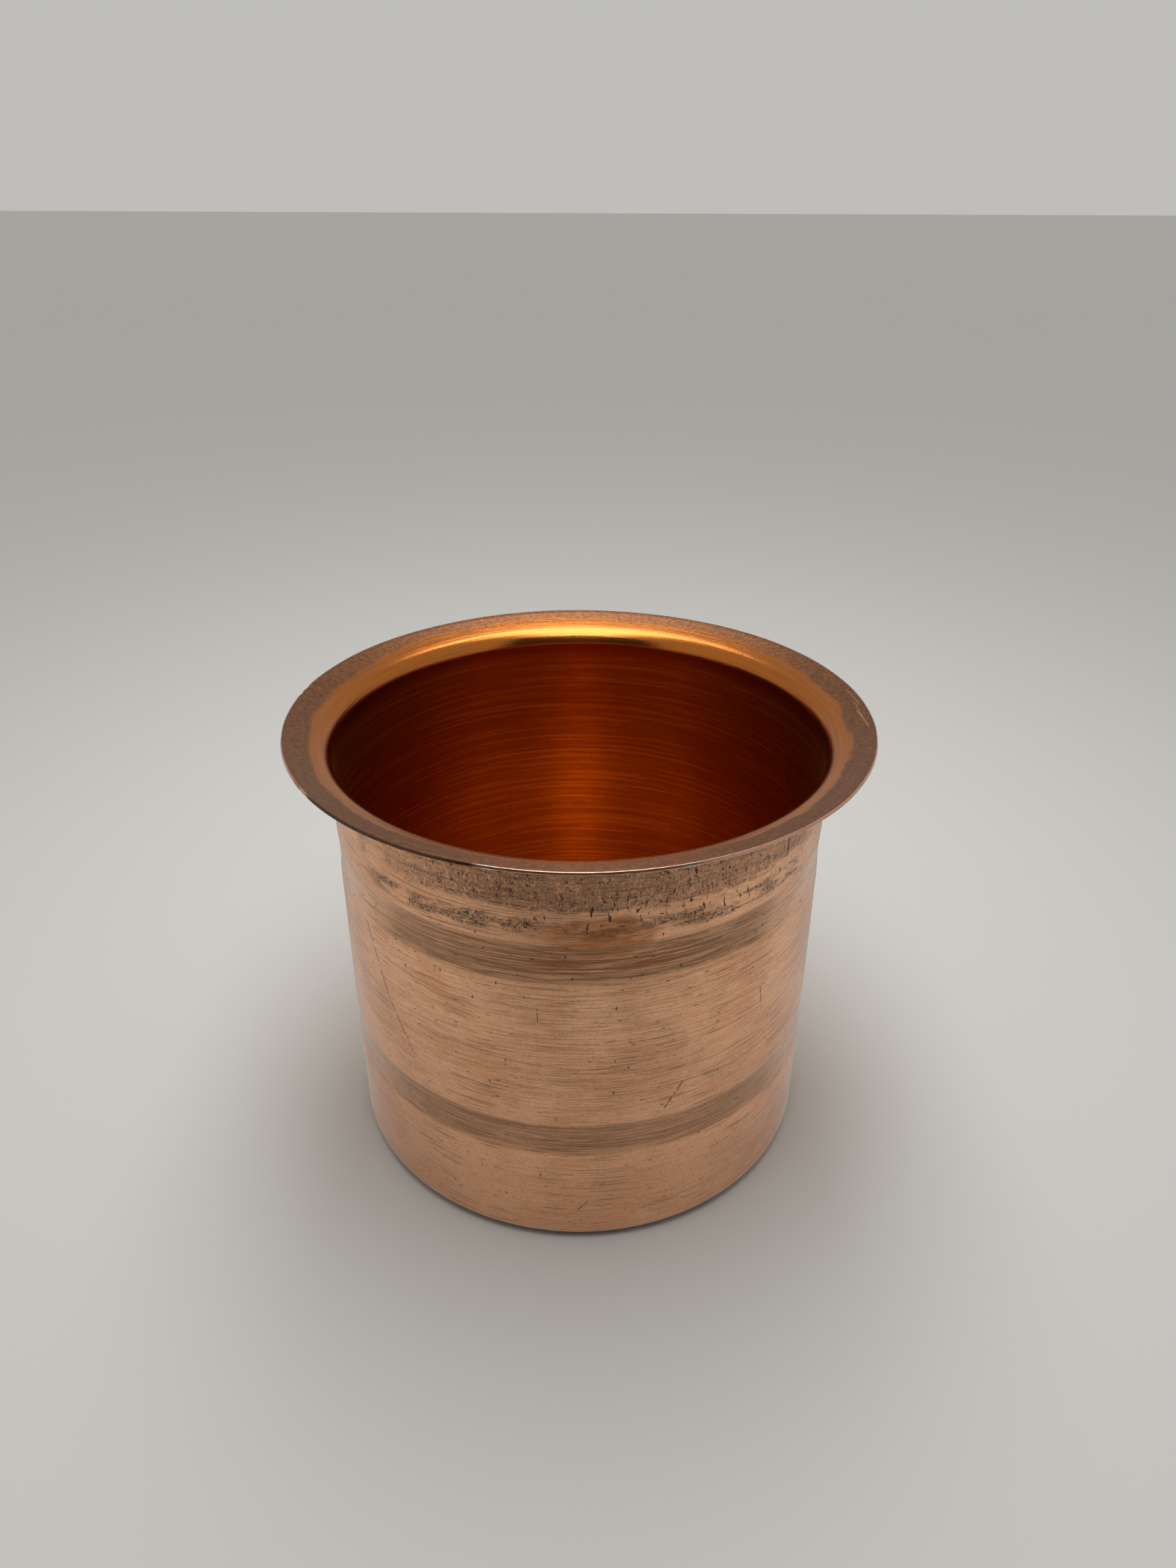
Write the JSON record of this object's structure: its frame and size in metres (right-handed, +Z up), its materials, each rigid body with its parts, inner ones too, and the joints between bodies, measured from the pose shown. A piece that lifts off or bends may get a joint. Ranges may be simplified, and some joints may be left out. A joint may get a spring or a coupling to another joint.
{
  "type": "copper puja cup",
  "caption": "Straight-sided cup spun from one sheet of copper, with a rounded flat base, shallow rolled bands and a flared sheared rim.",
  "frame": {"origin": "middle of the base, on the surface the cup stands on", "axes": "+Z up the axis of the cup, out of its mouth; X and Y are any two directions across it, because it is round"},
  "size_m": [0.076, 0.076, 0.0612],
  "materials": {
    "copper": "spun copper sheet, brushed round the wall, dulled and spotted with age"
  },
  "bodies": {
    "root": {"copper_cup": "copper"}
  },
  "joints": []
}
